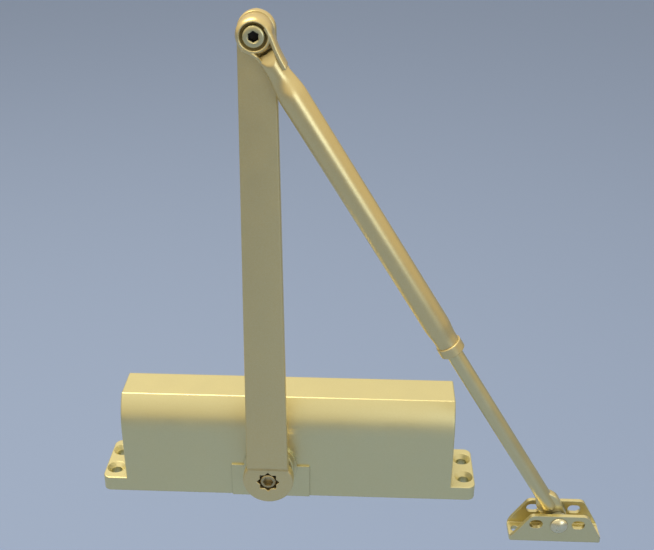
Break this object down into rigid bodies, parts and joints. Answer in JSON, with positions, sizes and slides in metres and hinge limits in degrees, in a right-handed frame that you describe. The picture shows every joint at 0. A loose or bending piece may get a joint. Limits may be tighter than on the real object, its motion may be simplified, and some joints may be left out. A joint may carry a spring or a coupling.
{
  "type": "door closer",
  "caption": "Surface-mounted rack-and-pinion door closer with a double-lever arm, adjustable forearm and slotted frame shoe, in a satin champagne metallic lacquer.",
  "frame": {"origin": "centre of the housing's four-hole fixing pattern on its mounting face", "axes": "+Z out of the mounting face, towards the housing's flat top; +X along the housing, towards its spring-adjusting end; the pinion lies along Y and the arm is on the -Y side"},
  "size_m": [0.318, 0.0975, 0.3195],
  "materials": {
    "champagne_lacquer": "satin metallic lacquer",
    "cap_lacquer": "satin metallic lacquer",
    "arm_lacquer": "satin metallic lacquer",
    "rod_lacquer": "satin metallic lacquer",
    "shoe_lacquer": "satin metallic lacquer",
    "screw_lacquer": "semi-gloss metallic lacquer",
    "zinc_steel": "zinc plated",
    "bearing_steel": "ground",
    "pinion_steel": "turned and hobbed",
    "screw_steel": "dark oiled",
    "spring_steel": "oil tempered",
    "piston_iron": "machined",
    "seal_rubber": "matte",
    "seal_ring_plastic": "matte",
    "black_plastic": "matte",
    "bronze": "sintered bronze",
    "brass": "turned"
  },
  "bodies": {
    "housing": {"housing": "champagne_lacquer", "end_plug_left": "zinc_steel", "end_plug_right": "zinc_steel", "end_plug_seals": "seal_rubber", "pinion_bearing_front": "bearing_steel", "pinion_bearing_back": "bearing_steel", "pinion_seal_front": "seal_rubber", "pinion_seal_back": "seal_rubber", "bearing_cap_front": "cap_lacquer", "bearing_cap_back": "cap_lacquer", "pinion_dust_cap": "black_plastic"},
    "arm": {"main_arm": "arm_lacquer", "pinion": "pinion_steel", "arm_screw": "screw_lacquer", "elbow_screw": "screw_lacquer", "elbow_washer": "zinc_steel"},
    "piston": {"piston": "piston_iron", "piston_seals": "seal_ring_plastic", "check_ball": "bearing_steel", "check_retainer": "zinc_steel"},
    "spring_seat": {"spring_seat": "piston_iron", "main_spring": "spring_steel"},
    "spring_adjuster": {"spring_adjusting_screw": "screw_steel"},
    "forearm": {"forearm": "arm_lacquer", "elbow_bush": "bronze", "lock_collet": "zinc_steel", "lock_collar": "arm_lacquer"},
    "rod": {"adjusting_rod": "rod_lacquer"},
    "shoe": {"shoe_bracket": "shoe_lacquer", "pivot_rivet": "screw_lacquer", "pivot_bush": "bronze", "pivot_spacers": "zinc_steel"},
    "closing_valve": {"closing_speed_valve": "brass", "closing_speed_valve_seal": "seal_rubber"},
    "latch_valve": {"latch_speed_valve": "brass", "latch_speed_valve_seal": "seal_rubber"},
    "backcheck_valve": {"backcheck_valve": "brass", "backcheck_valve_seal": "seal_rubber"}
  },
  "joints": [
    {"name": "arm_swing", "type": "hinge", "parent": "housing", "child": "arm", "pos_m": [-0.011, -0.03, 0.024], "axis": [0, 1, 0], "range_deg": [0, 180], "stiffness_Nm_per_rad": 6, "springref_deg": -57.3},
    {"name": "piston_slide", "type": "slide", "parent": "housing", "child": "piston", "axis": [1, 0, 0], "range_m": [0, 0.0237], "deforming": ["main_spring"]},
    {"name": "elbow", "type": "hinge", "parent": "arm", "child": "forearm", "pos_m": [-0.0102, -0.05035, 0.3095], "axis": [0, -1, 0], "range_deg": [-30, 148]},
    {"name": "rod_slide", "type": "slide", "parent": "forearm", "child": "rod", "axis": [0.5177, 0, -0.8556], "range_m": [-0.03, 0.02]},
    {"name": "shoe_pivot", "type": "hinge", "parent": "rod", "child": "shoe", "pos_m": [0.1692, -0.05035, 0.013], "axis": [0, 1, 0], "range_deg": [-120, 56]},
    {"name": "closing_valve_turn", "type": "hinge", "parent": "housing", "child": "closing_valve", "pos_m": [-0.105, -0.009, 0.058], "axis": [-1, 0, 0], "range_deg": [-360, 360]},
    {"name": "latch_valve_turn", "type": "hinge", "parent": "housing", "child": "latch_valve", "pos_m": [-0.105, 0, 0.058], "axis": [-1, 0, 0], "range_deg": [-360, 360]},
    {"name": "backcheck_valve_turn", "type": "hinge", "parent": "housing", "child": "backcheck_valve", "pos_m": [-0.105, 0.009, 0.058], "axis": [-1, 0, 0], "range_deg": [-360, 360]},
    {"name": "spring_adjust", "type": "hinge", "parent": "housing", "child": "spring_adjuster", "pos_m": [0.104, 0, 0.0315], "axis": [-1, 0, 0], "range_deg": [-1080, 1440]},
    {"name": "spring_seat_slide", "type": "slide", "parent": "housing", "child": "spring_seat", "axis": [-1, 0, 0], "range_m": [-0.00374, 0.00499]}
  ],
  "couplings": [
    {"joint": "piston_slide", "follows": "arm_swing", "m_per_rad": 0.0075},
    {"joint": "spring_adjust", "follows": "spring_seat_slide", "rad_per_m": 5026.5}
  ]
}
